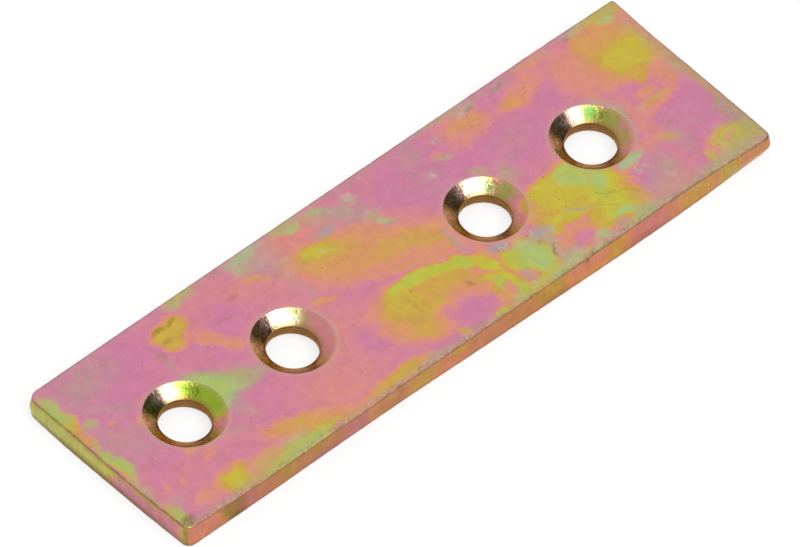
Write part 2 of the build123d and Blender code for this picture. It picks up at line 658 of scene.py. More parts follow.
# tone, centre along and across in mm, half sizes, then softness of the edge unless it is the usual 0.8,
# and a turn in degrees if it has one
frontStains = [
    # the left end and the first hole
    (-0.035, -32, 8.5, 4.5, 2.8), (0.06, -30, -7, 5.5, 2.2), (0.04, -25.5, -7.2, 5, 1.3, 0.7),
    (gold, -36.9, 6, 0.7, 3.2, 0.5), (orange, -36.8, 3.2, 0.6, 1.2, 0.6),
    (yellow, -36.9, -0.5, 0.5, 2.2, 0.6), (0.45, -36.7, -8.8, 0.6, 1.6, 0.5),
    (salmon, -33.8, 3.5, 0.5, 0.45, 0.6), (0.2, -31.6, 1.6, 0.35, 0.7, 0.6),
    (salmon, -29.3, -4.8, 0.9, 0.5, 0.6, 30), (0.2, -30.2, -3.6, 0.5, 0.4, 0.6),
    (0.16, -33.6, -6, 0.4, 0.4, 0.6), (0.16, -35.3, -5.6, 0.3, 0.5, 0.6), (0.17, -33, -9, 1, 0.8, 0.7),
    (sage, -20.5, -0.6, 3, 1.1, 0.6, -10), (thinLeaf, -24.3, 0.2, 2.4, 2.3, 0.5),
    (orange, -29.6, -9, 2.1, 1.6, 0.4), (yellow, -29.5, -9.2, 1.4, 1.1, 0.5),
    (orange, -22, -7.8, 2.4, 1, 0.5, -20), (0.36, -19, -8.4, 3.6, 1.1, 0.5, -24),
    (orange, -15.8, -10, 1.8, 0.8, 0.6, -20), (0.26, -25.8, -8.9, 1.7, 0.8, 0.6),
    (0.45, -22.5, -10.1, 5.2, 0.9, 0.5, 3), (leaf, -22, -10.3, 3.6, 0.6, 0.6, 3),
    (gold, -22, 8.3, 1.9, 1.3, 0.3), (gold, -22.6, 6.8, 1.3, 1.1, 0.4), (0.44, -22.2, 8, 1.2, 1, 0.6),
    (0.2, -19.4, 4.4, 2.4, 0.8, 0.6, -50), (0.2, -18.4, 2.6, 1, 0.5, 0.6, -50),
    (0.45, -19, 10.8, 1.4, 0.4, 0.6),
    # round the second hole and up to the middle
    (0.09, -11, -2.5, 6, 5.5), (0.12, -14.5, -7.5, 4, 2.2, 0.8, -15), (-0.01, -8.4, -5.2, 1.2, 1.4),
    (0.1, -13.5, 7.6, 3.4, 1.6, 0.8, -35), (orange, -11.6, 7.3, 1.2, 0.5, 0.6, -38),
    (0.14, -5.5, 9.2, 3.6, 1.6), (0.24, -5, 3.4, 3.2, 1.9, 0.6, -28), (0.34, -4.4, 5.4, 4.2, 1.8, 0.5, -12),
    (0.47, -4.6, 5.8, 2.5, 0.85, 0.5, -14), (yellow, -5.4, 6, 1, 0.7, 0.6),
    (0.4, -2, 4.8, 1.6, 0.9, 0.6, -20), (0.23, 0.5, 4.4, 3, 1.6, 0.7, -35),
    (0.3, 1.5, 1.9, 5.4, 1.8, 0.6, -8), (0.36, 1.6, 2, 3.6, 1.1, 0.6, -6),
    (0.38, 4.3, -0.4, 2, 1.2, 0.6, -25), (0.22, 4.6, 3.8, 2, 0.9, 0.6, -50),
    (orange, -8.6, 1.3, 1.2, 0.35, 0.6, -20), (0.22, 1.6, -0.5, 5, 0.8, 0.7, -12),
    (orange, -2.9, -5.2, 4.3, 3.7, 0.35, -20), (0.41, -2.3, -4, 3, 2.4, 0.35, -10),
    (0.38, -3.6, -7, 1.2, 1.5, 0.5, -10), (0.45, -3, -3.2, 2, 1.2, 0.7), (0.08, -0.7, -7.6, 0.9, 1.1, 0.6),
    (0.42, -9.5, -10, 3.6, 0.7, 0.6), (orange, -1.2, -10, 0.5, 0.6, 0.6),
    # the curled streak in the middle
    (orange, 3.5, -4.8, 4.6, 2.4, 0.5, -35), (0.4, 1.5, -4.2, 2.6, 1, 0.6, -15),
    (lime, -2.8, -1.9, 1.1, 0.4, 0.5), (lime, -0.2, -2.2, 1.9, 0.8, 0.4, -4),
    (0.57, 2.2, -2.8, 1.7, 0.85, 0.4, -18), (lime, 4.5, -3.6, 1.5, 0.85, 0.4, -36),
    (0.56, 6.3, -5.2, 1.5, 0.75, 0.4, -58), (0.55, 6.6, -7.6, 1.5, 0.55, 0.4, -80),
    (0.5, 6.3, -4.4, 0.8, 0.7, 0.6, -40), (yellow, 6.8, -9.4, 1.1, 0.5, 0.4, -88),
    (0.14, 5.1, -5.5, 1.6, 0.16, 0.7, -42), (0.46, 4.9, -7, 1, 1, 0.6), (0.6, 5, -7.6, 1.1, 1.1, 0.4, 30),
    (rose, 1.2, -8.6, 2.1, 1.6, 0.5), (0.22, 3.8, -7.4, 1, 0.8, 0.6), (orange, 5, -8.9, 0.9, 0.8, 0.6),
    (0.2, 7.2, -4.8, 0.35, 2.4, 0.6, 8), (0.55, 8.3, -6.6, 0.9, 1.5, 0.5),
    (0.64, 10.4, -7.6, 1.7, 2.4, 0.4), (0.2, 8.3, -8.7, 0.8, 0.9, 0.7),
    (0.3, 14.2, -3.6, 2.4, 0.16, 0.7, -36), (0.3, 19.6, -5.6, 2.2, 0.14, 0.7, -38),
    (0.32, 16.6, -3, 1.8, 0.13, 0.8, -40), (0.3, 18.6, -6.4, 2, 0.14, 0.8, -38),
    (0.5, 9.5, -10.2, 5, 0.8, 0.6), (lime, 3.2, -10.6, 0.8, 0.35, 0.6),
    # under the third hole
    (0.45, 17.2, -3.8, 4.2, 2.75, 0.3, -10), (yellow, 17.6, -2.8, 3.3, 1.8, 0.4),
    (0.24, 14.2, -4.4, 1.9, 0.35, 0.7, -18), (yellow, 15.8, -5.6, 2.6, 0.9, 0.4, -24),
    (0.46, 13.9, -6, 1, 0.8, 0.5, -30), (orange, 15.4, -8.5, 2.4, 1.6, 0.35),
    (0.04, 15.4, -8.7, 1.7, 1, 0.5), (0.45, 18.4, -8, 1.2, 1.6, 0.5, -30),
    (0.22, 13.6, -1.8, 0.8, 1.6, 0.6, 25), (0.2, 16.2, 8.4, 2.7, 1.6, 0.6, -5),
    (0.3, 16.2, 8.4, 1.8, 0.8, 0.7, -5), (gold, 11.3, 7.2, 0.5, 0.4, 0.7, 20), (dusk, 9.5, 9, 1.6, 1.2),
    (0.16, 15.6, 7.2, 2.2, 1, 0.7), (0.22, 3.4, 4.5, 1.1, 0.9, 0.7), (-0.03, 19, 4, 3, 2.4),
    (-0.02, 8, 6, 5, 3, 0.9),
    # round the last hole
    (0.22, 22.3, 8, 2.2, 1.1, 0.6), (0.3, 21.4, 7.8, 1, 0.7, 0.7), (0.16, 24.6, 8.8, 1.6, 1.1, 0.7),
    (0.17, 26, 10.4, 1.8, 0.7, 0.7), (0.12, 27.6, -4.6, 1.3, 1), (0.3, 23, -9, 1, 0.9, 0.6),
    (0.22, 24.4, -5.8, 1, 0.6, 0.7), (0.5, 21, -6, 2.4, 4.4, 0.3), (0.56, 20.6, -6.4, 1.4, 2.2, 0.6),
    (0.4, 23, -7.5, 0.9, 1.3, 0.6), (lime, 19.6, -2.4, 1.2, 1.4, 0.5),
    (0.62, 21.2, -4.9, 0.9, 1.2, 0.6, -20), (rose, 25.2, -7.6, 1.9, 1.8, 0.5),
    (0.6, 20.1, -8.9, 1.1, 0.6, 0.6, -20), (0.1, 26.5, -9.5, 2, 1), (thinLeaf, 27.6, -1, 1, 1.8, 0.5, -15),
    # the right end
    (0.16, 28.6, 6.6, 2.4, 3.8, 0.6), (0.3, 33.9, 6.2, 4.1, 4.2, 0.35), (0.2, 30.6, 4, 1.2, 1.4, 0.7),
    (0.34, 31.2, 8, 1, 1.9, 0.4), (0.46, 34, 5.2, 2.7, 2.2, 0.5), (yellow, 33.6, 5.3, 2, 1.4, 0.6),
    (0.4, 33.2, 2.4, 0.9, 1.4, 0.5), (gold, 35.6, 10.2, 2.2, 1, 0.5), (0.09, 36.9, 8.2, 0.7, 0.9, 0.5),
    (0.02, 33.8, 0.4, 1.3, 0.8, 0.7), (0.2, 35, 0.8, 1, 1.2, 0.6), (0.2, 32.2, -1.5, 1.5, 0.6, 0.7),
    (0.2, 32, 0.3, 1.2, 0.6, 0.7), (0.3, 32.2, -0.9, 2.2, 0.5, 0.8, 3), (0.2, 31, -2, 1.2, 0.5, 0.7),
    (-0.015, 33.2, -4.6, 3.6, 2.4, 0.6), (0.12, 29.3, -2, 1.2, 3), (0.3, 29.8, -4.9, 0.9, 0.4, 0.7, -40),
    (0.24, 34.3, -9.2, 2.6, 1.6, 0.5), (0.5, 34.3, -8.9, 1.5, 1.3, 0.35),
    (0.16, 34.2, -8.9, 0.8, 0.6, 0.5, 20), (0.45, 31.3, -9.3, 0.3, 0.7, 0.6),
    (0.3, 36.6, -10, 0.8, 0.9, 0.6), (0.16, 37.1, 2, 0.5, 7, 0.6),
]
# where the bath dried on it in a pale bloom: how strong, then as above
mintBloom = [
    (0.4, 12.2, -6, 0.8, 0.7, 0.7), (0.8, 11, -10.4, 1.2, 0.5, 0.7), (0.95, 21.5, -10.4, 1.1, 0.5, 0.7),
    (0.9, -10.9, 10.4, 2, 0.8, 0.6), (0.5, -11.9, 9.3, 0.7, 0.5, 0.7), (0.3, -9.6, 9.1, 1.4, 1, 0.9),
    (0.7, -5, 10, 0.9, 0.35, 0.6), (0.55, -1.9, 9.6, 1.8, 0.28, 0.7, -27),
    (0.45, 0, 8.4, 1, 0.28, 0.7, -38), (0.3, 1.8, 6.4, 0.8, 0.3, 0.8, -60),
    (0.8, 2.3, 5, 0.5, 0.32, 0.6, -55), (0.45, 10.6, -7.8, 1.3, 2.1, 0.7), (0.6, 10, -5.9, 1.2, 0.7, 0.7),
    (0.75, 12.6, -10.1, 1.4, 0.7, 0.6, 20), (0.6, 15, -10.4, 1.4, 0.4, 0.7),
    (0.75, 17, -9.7, 0.8, 0.6, 0.5), (0.7, 5.7, -10.3, 0.6, 0.4, 0.6), (0.4, 19, -2.3, 1.2, 1.1, 0.7),
    (0.4, 20.3, -3.7, 1.3, 0.9, 0.7, -50), (0.5, 21.2, -5, 0.7, 1, 0.6, -20),
    (0.75, 20.6, -9.1, 1, 0.45, 0.6, -20), (0.65, 22, -10, 0.9, 0.5, 0.6, -20),
    (0.9, 25.3, -4.9, 1.4, 0.5, 0.5, 3), (0.6, 35.5, 9.4, 0.8, 0.5, 0.6), (0.4, 31.7, 10.5, 0.7, 0.3, 0.7),
    (0.35, 36.7, 1, 0.35, 0.4, 0.7), (0.4, -22, -9.2, 1.4, 0.6),
]
strawBloom = [
    (0.3, -21.6, 0.2, 2.2, 1.4, 0.6), (0.45, 2, 5.9, 0.9, 0.8), (0.3, 27.5, -7.4, 1, 1),
    (0.95, -19, 10.5, 1.6, 0.7, 0.7), (0.8, -5.6, 10.6, 1.6, 0.6, 0.7), (0.55, 12.6, -7.2, 0.7, 1.2, 0.7),
    (0.5, 19.3, -10.5, 1.4, 0.5), (0.75, 33.4, -10.5, 3.8, 0.7), (0.4, -11.6, 9, 1.1, 0.6, 0.7),
    (0.3, 36.4, -6.2, 0.8, 1.4), (0.6, 33.2, 10.5, 2.2, 0.6, 0.7), (0.6, 36.4, 10.2, 1, 0.7, 0.7),
    (0.55, 22.6, -10.5, 2, 0.6), (0.5, 36.6, -9.6, 1, 1.4), (0.45, 37, -4, 0.5, 7),
    (0.4, 36.6, 4, 0.8, 4.5), (0.45, -5.5, -10.6, 1.5, 0.5), (0.5, 12.6, -9.2, 0.8, 0.7),
    (0.45, -37, -4.8, 0.45, 2.2, 0.7), (0.5, 15.5, 10.6, 3, 0.5, 0.9), (0.35, -26, -9, 1.6, 0.6),
    (0.75, -36.8, 8, 0.7, 1.8, 0.6), (0.75, -36.7, -0.2, 0.6, 2.8, 0.6), (0.75, -36.5, -8.8, 0.6, 1.5, 0.6),
    (0.75, -35.5, 4.4, 0.6, 0.5, 0.7), (0.5, -24, -10.2, 5.5, 0.8, 0.6, 2),
    (0.45, -19, 10.8, 1.3, 0.35, 0.7), (0.45, -8, 7.2, 0.7, 0.35), (0.5, 12, 6.7, 0.7, 0.35, 0.8, -40),
    (0.5, 13.4, 3.5, 0.9, 0.4, 0.7, -38), (0.35, 15.2, 1.8, 0.9, 0.9, 0.9),
    (0.35, 27.6, 2.6, 0.6, 0.9, 0.8, 20), (0.4, 28.5, 0.4, 0.4, 1.1), (0.4, 32, -0.8, 1.9, 0.35, 0.7, 3),
    (0.4, 34.3, -8.4, 1.7, 1.5, 0.6), (0.4, 31.3, -9.3, 0.4, 0.8, 0.7), (0.3, 8, -9.9, 0.9, 0.5),
    (0.3, 30.2, -5.2, 1.2, 0.6, 0.9, -40), (0.3, -1.2, -9.8, 0.6, 0.6),
]
ashBloom = [
    (0.6, 0.5, 7.6, 1.2, 0.9, 0.8, -20), (0.6, -1.8, 9, 1.8, 0.7, 0.8, -15), (0.3, 2, 7.2, 0.8, 1),
    (0.5, 25.4, -9, 2.2, 1.2, 0.9), (0.4, -35.6, -7.4, 0.7, 0.8), (0.3, -35.6, 2.2, 0.9, 1.8),
    (0.3, 36.5, -5.9, 0.6, 1.2), (0.25, -23.2, -3, 0.9, 1), (0.45, 15.5, 1.5, 0.8, 1, 0.9),
    (0.25, -33, 8.3, 3.2, 1.8, 0.9), (0.35, -32.6, 4.4, 2.3, 0.45, 0.8, -31),
    (0.3, -33.8, 0.5, 2, 2.4, 0.9), (0.4, -25, 5, 0.35, 2, 0.9), (0.35, -25.4, -5, 1, 0.4, 0.9, -20),
    (0.4, -23.4, -3.4, 0.6, 1.6, 0.9, 35), (0.5, -2.9, 7.4, 1, 0.5, 0.9),
    (0.35, -9.8, 7.6, 2.2, 1, 0.9, -35), (0.35, -9.3, 4.9, 0.5, 1.2, 0.9), (0.25, -8.8, 2.9, 0.5, 0.8, 0.9),
    (0.55, 1.3, 9, 0.9, 0.6, 0.7), (0.45, 5.8, -1.2, 0.4, 1.9, 0.8, 8),
    (0.55, 8.2, -4.6, 0.9, 0.45, 0.8, -20), (0.55, 12.2, -5.8, 1.1, 0.7),
    (0.45, 12.3, -8, 0.3, 0.8, 0.7, -20), (0.4, 2.7, 4.2, 0.5, 0.35, 0.7), (0.55, 9.7, 6.1, 0.45, 0.2, 0.7),
    (0.5, 12.5, 8.8, 0.45, 0.25, 0.7, -40), (0.45, 17.4, 10, 1, 0.5), (0.45, 21.8, 10.1, 1.1, 0.35, 0.7),
    (0.35, 27.5, 10.4, 0.8, 0.3), (0.5, 16.8, -5.7, 1.7, 0.14, 0.7, -30), (0.3, 26.5, -7.2, 1.6, 1.6, 0.9),
    (0.3, 30.6, -6.4, 0.7, 1.6, 0.9), (0.3, 30, -10.2, 6.5, 0.8), (0.5, 36.3, -8, 0.5, 0.9),
    (0.2, 37.1, -1, 0.45, 7, 0.7), (0.3, 8.3, -8.6, 0.7, 1, 0.9), (0.3, 3, 10.6, 34, 0.3, 0.6),
]
slateBloom = [
    (0.7, -2.9, 7.4, 1, 0.45, 0.7), (0.5, 2.7, 4.1, 0.5, 0.3, 0.7, -40), (0.5, 5.8, -1, 0.35, 1, 0.8, 8),
    (0.6, 8.2, -4.5, 0.8, 0.4, 0.7, -20), (0.6, 12.7, -5.5, 0.8, 0.5, 0.7),
    (0.5, 17.2, -5.8, 1.3, 0.16, 0.7, -32), (0.4, 8.2, -8.4, 0.5, 0.7), (0.4, 12.4, -9.4, 0.6, 0.4),
    (0.45, 13.9, -9, 0.8, 0.5),
]
leafBloom = [
    (0.6, -24.2, 1.3, 1.4, 1.6, 0.6), (0.35, -22.4, 0.4, 1.8, 1.4, 0.7), (0.6, -36.9, 7.5, 0.6, 2.2, 0.5),
    (0.5, -36.6, -0.8, 0.5, 1.8, 0.7), (0.45, -36.3, -9, 0.5, 1.3, 0.6), (0.75, -5, 9.9, 0.7, 0.3, 0.6),
    (0.5, -2.4, 9.5, 0.9, 0.2, 0.7, -20), (0.7, 2.6, 4.8, 0.5, 0.22, 0.6, -50),
    (0.6, 35.4, 9.2, 0.7, 0.4, 0.7), (0.35, 36.4, -9.2, 1.3, 1.1, 0.7), (0.4, 5.4, -7.8, 0.6, 0.8, 0.7),
    (0.5, 6.6, -9.4, 0.5, 0.8, 0.7), (0.45, 8.6, -7.2, 0.6, 0.9, 0.7), (0.4, 34.8, 3, 0.5, 0.3),
    (0.4, 19.2, -9.4, 0.7, 0.4, 0.7),
]
faceBlooms = [
    (mintBloom, (0.4, 0.52, 0.25)),
    (strawBloom, (0.46, 0.46, 0.16)),
    (ashBloom, (0.43, 0.36, 0.27)),
    (slateBloom, (0.4, 0.35, 0.37)),
    (leafBloom, (0.38, 0.52, 0.13)),
]


def laneFor(axes):  # the piece's own millimetres, flat on the face that a material covers
    place = add("TexCoord").outputs["Object"]
    inMm = add("VectorMath", {0: place, "Scale": 1 / mm}, operation="SCALE").outputs[0]
    parts = parted(inMm)
    return inMm, add("CombineXYZ", {0: parts[axes[0]], 1: parts[axes[1]]}).outputs[0], parts


def reaching(stains, start, end):  # those that can touch one stretch of the plate
    found = []
    for stain in stains:
        reach = 2 * max(stain[3:5]) + 1.5  # a soft edge doubles it at most
        if start - reach < stain[1] < end + reach:
            found.append(stain)
    return found


def layStain(lane, tone, x, y, long, short, soft=0.8, turn=0):
    flat = 1e5  # so long across that the lane's height counts for nothing
    return useGroup(stainGroup, {"Lane": lane, "Place": (x, y, 0), "Turn": (0, 0, math.radians(turn)),
                                 "Size": (long, short, flat), "Tone": (0, 0, tone), "Soft": soft})


def layStains(spot, stains, first=0.0):  # each stain is laid over those before it
    parts = parted(spot)
    lane = add("CombineXYZ", {0: parts[0], 1: parts[1], 2: first}).outputs[0]
    for stain in stains:
        lane = layStain(lane, *stain)
    return parted(lane)[2]


def marked(colour, spot, marks):  # each mark is a list of stains, and the tone they share
    return tinted(colour, *[(layStains(spot, stains), tone) for stains, tone in marks])


def sway(value, amount):  # noise about a half, turned into a swing either way
    return times(minus(value, 0.5), amount)


def dots(spot, scale, size, share):  # small round marks in a share of the cells
    cells = add("TexVoronoi", {"Vector": spot, "Scale": scale, "Randomness": 1.0}).outputs
    luck = add("SeparateColor", {0: cells["Color"]}).outputs[0]
    mark = fade(cells["Distance"], size, size * 0.55, smooth=True)
    return times(maths("LESS_THAN", luck, share), mark)


def filmMaterial(name, axes, stains, blooms, look):
    material = newMaterial(name)
    inMm, flat, parts = laneFor(axes)
    crawled = useGroup(crawlGroup, {"Spot": flat, "Far": look["far"], "Fine": look["fine"]})
    mottle = noise(inMm, 1.6, 4.0, 0.65)[0]
    grain = noise(inMm, look["grainScale"], 2.0, 0.6)[0]
    film = fade(noise(inMm, 0.16, 2.0)[0], 0.3, 0.7, look["thin"], look["thick"])
    film = layStains(crawled, stains, film)
    # runs in the film, drawn out the way the bath drained
    drain = {"Vector": crawled, "Rotation": (0, 0, look["drain"]), "Scale": look["drawn"]}
    runs = noise(add("Mapping", drain).outputs[0], 1.0, 4.0, 0.6)[0]
    for pattern, amount in ((mottle, look["mottle"]), (grain, look["grain"]), (runs, look["runs"])):
        film = plus(film, sway(pattern, amount))
    colour = marked(useGroup(filmColour, {"Film": film}), crawled, blooms)
    cloud = noise(inMm, 0.9, 5.0, 0.7)[0]
    colour = multiplied(colour, fade(cloud, 0.35, 0.7, 1.0, look["dull"]))
    return material, {"mm": inMm, "crawled": crawled, "flat": flat, "parts": parts, "mottle": mottle,
                      "grain": grain, "runs": runs, "colour": colour}


def finishFilm(look, made, colour, height):
    bump = add("Bump", {"Height": height, "Strength": look["bump"], "Distance": 0.02 * mm}).outputs[0]
    roughness = fade(made["mottle"], 0.3, 0.7, *look["rough"])
    skin = add("BsdfPrincipled", {"Base Color": colour, "Metallic": 1.0, "Roughness": roughness,
                                  "Normal": bump, "Specular Tint": look["grazing"]})
    add("OutputMaterial", {"Surface": skin.outputs[0]})


face = {
    "far": (2, 2, 0),  # how far the film crept, in long and in fine curls
    "fine": (1.4, 1.4, 0),
    "thin": -0.02,
    "thick": 0.07,
    "mottle": 0.11,
    "grain": 0.085,
    "grainScale": 5,
    "runs": 0.11,
    "drain": math.radians(40),
    "drawn": (0.35, 1.7, 1),
    "dull": 0.87,
    "rough": (0.33, 0.45),
    "bump": 0.3,
    "grazing": (1, 1, 1, 1),
    # how strong the painted shade is along the rounded top edge
    "edge": 0.68,
}
# burnt or dirty marks: how strong, then as above
faceBurns = [
    (0.5, -22.9, 8.9, 0.8, 0.25, 0.8, 10), (0.4, -21.4, 9, 0.5, 0.25), (0.35, -22.9, 7.4, 0.6, 0.3, 0.9),
    (0.3, -14.7, 7.4, 0.6, 0.2, 0.9), (0.25, -17.5, 5.8, 1.2, 0.12, 0.9, -10),
    (0.4, 3.2, -6.2, 0.25, 0.5, 0.8, 20), (0.55, 12.3, -8.1, 0.2, 0.7, 0.8, -20),
    (0.3, 12, -6.4, 0.35, 0.3), (0.3, 11.4, -5.2, 0.3, 0.15), (0.5, 15.5, -10.6, 1.4, 0.2, 0.8, -4),
    (0.2, 20.6, -6.4, 2.2, 0.12, 0.9, -38), (0.2, 21.8, -7.4, 1.8, 0.1, 0.9, -40),
    (0.18, 19.4, -7.2, 1.2, 0.1, 0.9, -42), (0.15, 17.4, -4.6, 1.5, 0.1, 0.9, -25),
    (0.4, 17.6, 9.8, 0.5, 0.3, 0.8, 40), (0.35, 21.6, 10.1, 0.7, 0.2), (0.3, 31, 10.2, 0.4, 0.3, 0.9),
    (0.8, -36.45, -10.2, 1.1, 0.8, 0.6, 25), (0.14, 36.4, -6.8, 1, 3.4), (0.25, -24.9, 6.4, 0.5, 0.5, 0.9),
    (0.3, 37.2, -7.5, 0.25, 2.5), (0.16, 37, -0.5, 0.5, 8.5), (0.2, -8.2, 9.4, 1.6, 0.08, 0.8, -30),
    (0.2, -2.4, -4.4, 0.08, 1),
]
# where pale salts gather away from the outline
saltPlaces = [
    (1, 9.8, 6.1, 0.7, 0.4, 0.6), (1, 1.3, 9.1, 0.9, 0.7, 0.7), (1, 12.6, 8.7, 0.6, 0.4, 0.7, -40),
    (0.8, 25.6, -6.2, 1.4, 0.9), (0.6, 27, -7.6, 1.6, 1.2), (0.8, 17.4, 10, 1.2, 0.6, 0.7),
    (1, 8.3, -9.8, 0.9, 0.5, 0.7), (1, 29.4, 0.3, 0.3, 0.3, 0.6), (1, 12, -5.8, 1.2, 0.8, 0.7),
    (0.8, 8.4, -4.7, 0.8, 0.5), (0.8, 35.4, 9.2, 1, 0.6, 0.7), (0.8, 21.6, 10.1, 1, 0.4),
    (0.7, 36, -6.6, 1, 0.8), (0.6, -4.6, 5.5, 2, 0.5, 0.8, -14), (0.7, 33, -9.6, 1.6, 0.8),
    (0.6, -8.2, 7.2, 0.5, 0.4), (0.7, 14, -10.2, 3, 0.6),
]


def faceMaterial(stretch, centre):
    stains = reaching(frontStains, *stretch)
    blooms = [(reaching(bloom, *stretch), tone) for bloom, tone in faceBlooms]
    material, made = filmMaterial("film on the front", "XY", stains, blooms, face)
    spot = made["mm"]
    # salts dried pale on it, some of them near the outline
    inset = add("Attribute", attribute_name="inset").outputs["Fac"]
    salt = plus(noise(spot, 1.1, 6.0, 0.75)[0], times(fade(inset, 2.0, 0.2), 0.05))
    gathered = layStains(made["crawled"], reaching(saltPlaces, *stretch))
    salt = plus(salt, times(gathered, 0.16))
    burnt = layStains(made["crawled"], reaching(faceBurns, *stretch))
    pit = dots(spot, 1.15, 0.12, 0.16)
    speck = dots(spot, 2.6, 0.16, 0.12)
    # the film is a little duller in a ring round each mouth
    away = vectors("DISTANCE", made["flat"], (centre.x / mm, centre.y / mm, 0), result="Value")
    ring = maths("ABSOLUTE", minus(away, 4.25))
    # and dirtier along the edges, with pale and dark grit in the dirt of the near one
    ragged = plus(inset, sway(noise(spot, 1.4, 4.0, 0.7)[0], 0.4))
    dirt = times(fade(ragged, 1.3, 0.3), fade(made["parts"]["Y"], -6.0, -10.0))
    grit = noise(spot, 2.6, 3.0, 0.75)
    pale = fade(plus(grit[0], times(dirt, 0.1)), 0.58, 0.68)
    dark = add("SeparateColor", {0: grit[1]}).outputs[1]
    dark = fade(plus(dark, times(dirt, 0.08)), 0.6, 0.7)
    colour = tinted(
        made["colour"],
        (fade(salt, 0.62, 0.72, 0, 0.5), (0.56, 0.47, 0.36)),
        (burnt, (0.2, 0.13, 0.03)),
        (times(pit, 0.6), (0.16, 0.1, 0.04)),
        (times(speck, 0.4), (0.66, 0.6, 0.5)),
        (fade(ring, 0.25, 0.05, 0, 0.3), (0.5, 0.4, 0.25)),
        (times(dirt, 0.35), (0.42, 0.33, 0.15)),
        (times(pale, times(dirt, 0.5)), (0.52, 0.46, 0.27)),
        (times(dark, times(dirt, 0.55)), (0.2, 0.16, 0.07)),
        # painted shade: a dark line along the rounded top edge, standing in for the dark room that the
        # rounding reflects
        (fade(ragged, 0.24, 0.04, 0, face["edge"]), (0.15, 0.11, 0.04)),
    )
    finishFilm(face, made, colour, minus(made["grain"], times(pit, 1.5)))
    return material


cone = {
    "far": (1.0, 1.0, 0),
    "fine": (1.0, 1.0, 0),
    "thin": 0.0,
    "thick": 0.1,
    "mottle": 0.14,
    "grain": 0.08,
    "grainScale": 3.4,
    "runs": 0.1,
    "drain": 0,
    "drawn": (1, 1, 1),
    "dull": 0.85,
    "rough": (0.11, 0.25),
    "bump": 1.0,
    "grazing": (0.94, 0.75, 0.6, 1),
}
# in every countersink, from its middle
coneStains = [
    (0.08, -2.8, 1, 2, 2.6, 0.5), (0.24, -1.9, 2.7, 1.7, 1.1, 0.6, 40), (0.3, -1.4, -3.2, 3, 0.9, 0.6, -12),
    (0.06, 2.2, -2.9, 1.8, 1, 0.6, -45), (0.62, 2.2, 2.7, 0.9, 0.7, 0.6, -45),
]
farWall = (0.8, 0.6, 2.9, 1.9, 1.4, 0.5, -15)
farTurn = (0.6, 2.1, 2.3, 0.8, 0.7, 0.7, -50)
# and in each of the four: a pale patch painted on the far wall where the softbox highlight falls, so that it
# reads cream-white, given from its middle as the glints of jade are, and how thick the dark grains lie along
# that highlight's edges where the far wall turns, which is partly painted shade
holeMarks = [
    {
        "film": [
            (0.66, -24.5, 0.1, 1.7, 2.6, 0.3), (0.34, -30.2, -2.6, 1.4, 2.2, 0.5, 40),
            (0.5, -29.2, 2.9, 0.8, 0.7, 0.6),
        ],
        "green": [
            (0.85, -24.5, 0.2, 1.7, 2.4, 0.35), (0.7, -29.3, 2.7, 1.2, 1.1, 0.7, 40),
            (0.8, -25.9, 2.4, 0.9, 0.9, 0.6),
        ],
        "straw": [(0.3, -24.8, -2.2, 1, 0.8, 0.8, 30)],
        "highlightPale": [(0.8, 0.1, 3, 1.5, 1.3, 0.5, -10)],
        "jade": [(0.35, 2.15, 2.6, 0.8, 0.3, 0.6, 50), (0.6, -0.6, 2.7, 0.7, 0.3, 0.7)],
        "scale": 1,
    },
    {
        "film": [(0.04, -11.2, -1, 1.6, 2.2, 0.5), (0.12, -16.4, -2.9, 1.8, 2.2, 0.5, 40)],
        "green": [(0.5, -11.3, 2, 0.5, 0.6, 0.7, -45)],
        "straw": [(0.6, -11.5, 1.4, 0.9, 0.6, 0.7, -50)],
        "highlightPale": [farWall, farTurn],
        "jade": [(0.55, 0.2, 2.7, 0.9, 0.2, 0.6, -5), (0.5, 2.6, 2.7, 0.25, 0.45, 0.6, 45)],
        "scale": 0.25,
    },
    {
        "film": [
            (0.05, 13.4, -1.2, 1.4, 1.2, 0.5), (0.4, 13.9, -2.4, 0.5, 0.9, 0.5, -30),
            (0.34, 8.2, -2.8, 1.3, 2.2, 0.5, 40),
        ],
        "green": [(0.5, 13.6, 0.7, 0.7, 0.6, 0.8, -60)],
        "straw": [(0.75, 13.7, 0.4, 1, 0.9, 0.6), (0.5, 12.9, 1.8, 0.8, 0.8)],
        "highlightPale": [farWall, farTurn],
        "jade": [(0.5, 2.3, 2.1, 0.7, 0.35, 0.6, 42), (0.45, 0.3, 2.7, 0.7, 0.2, 0.6, -5)],
        "scale": 0.8,
    },
    {
        "film": [
            (0.1, 27, -2.2, 1.2, 1.2, 0.5), (0.36, 22.2, -2.9, 1.6, 1.5, 0.5, 30),
            (0.66, 26.4, 1.8, 0.8, 0.8, 0.5),
        ],
        "green": [(0.8, 26.9, 1.5, 0.7, 0.8, 0.7, -50), (0.5, 26.4, 2.2, 0.5, 0.9, 0.6, -30)],
        "straw": [(0.95, 27.2, 0.6, 1.2, 1.3, 0.5), (0.7, 26.6, -1.4, 0.9, 1.3, 0.6, 20)],
        "highlightPale": [(0.85, 0.1, 3, 1.7, 1.3, 0.4, -5)],
        "jade": [(0.85, 2.15, 2.5, 1, 0.75, 0.5, 54)],
        "scale": 0.9,
    },
]


